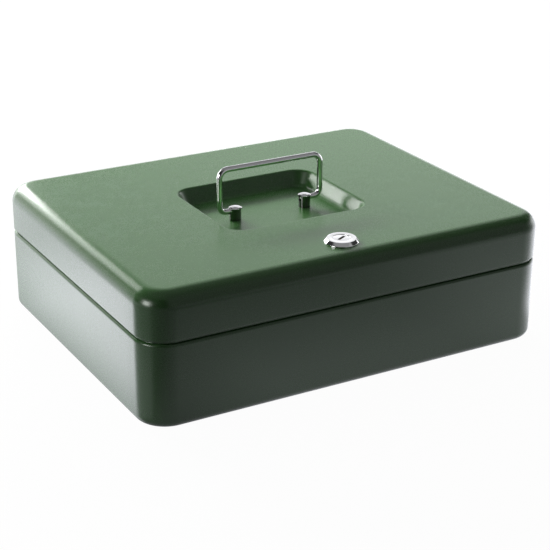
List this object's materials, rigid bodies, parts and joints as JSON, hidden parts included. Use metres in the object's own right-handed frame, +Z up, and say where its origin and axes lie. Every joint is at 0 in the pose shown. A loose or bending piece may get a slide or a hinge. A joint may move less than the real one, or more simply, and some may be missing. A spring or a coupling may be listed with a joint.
{
  "type": "cash box",
  "caption": "Low steel cash box with rounded corners, a hinged lid, a bail handle that folds into a pocket, a cam lock and lift-out coin and note trays.",
  "frame": {"origin": "middle of the box's underside, on the surface that it stands on", "axes": "+X to the right across the box's width, +Y from the lock's side at the front to the hinges at the back, +Z up"},
  "size_m": [0.3, 0.2413, 0.1185],
  "materials": {
    "green_paint": "semi-gloss moss-green powder coat",
    "chrome": "bright plated",
    "zinc_steel": "zinc plated, dull",
    "brass": "stamped",
    "tray_plastic": "fine grained moulding"
  },
  "bodies": {
    "box": {"box_shell": "green_paint", "strike_plate": "zinc_steel", "hinge_body_leaf_left": "green_paint", "hinge_body_leaf_right": "green_paint", "hinge_pin_left": "zinc_steel", "hinge_pin_right": "zinc_steel", "note_tray": "tray_plastic", "coin_tray_left": "tray_plastic", "coin_tray_right": "tray_plastic"},
    "lid": {"lid_shell": "green_paint", "hinge_lid_leaf_left": "green_paint", "hinge_lid_leaf_right": "green_paint", "handle_post_left": "chrome", "handle_post_right": "chrome", "post_washers": "zinc_steel", "lock_housing": "chrome", "lock_washer": "zinc_steel", "lock_nut": "zinc_steel"},
    "handle": {"handle_bail": "chrome"},
    "lock": {"lock_plug": "chrome", "lock_wafers": "brass", "lock_stop_washer": "zinc_steel", "lock_cam": "zinc_steel", "cam_screw": "zinc_steel"}
  },
  "joints": [
    {"name": "lid_hinge", "type": "hinge", "parent": "box", "child": "lid", "pos_m": [0, 0.1187, 0.0581], "axis": [-1, 0, 0], "range_deg": [0, 100]},
    {"name": "handle_hinge", "type": "hinge", "parent": "lid", "child": "handle", "pos_m": [0, -0.0016, 0.086], "axis": [1, 0, 0], "range_deg": [-98, 98]},
    {"name": "lock_turn", "type": "hinge", "parent": "lid", "child": "lock", "pos_m": [0, -0.095, 0.06], "axis": [0, 0, -1], "range_deg": [0, 90]}
  ]
}
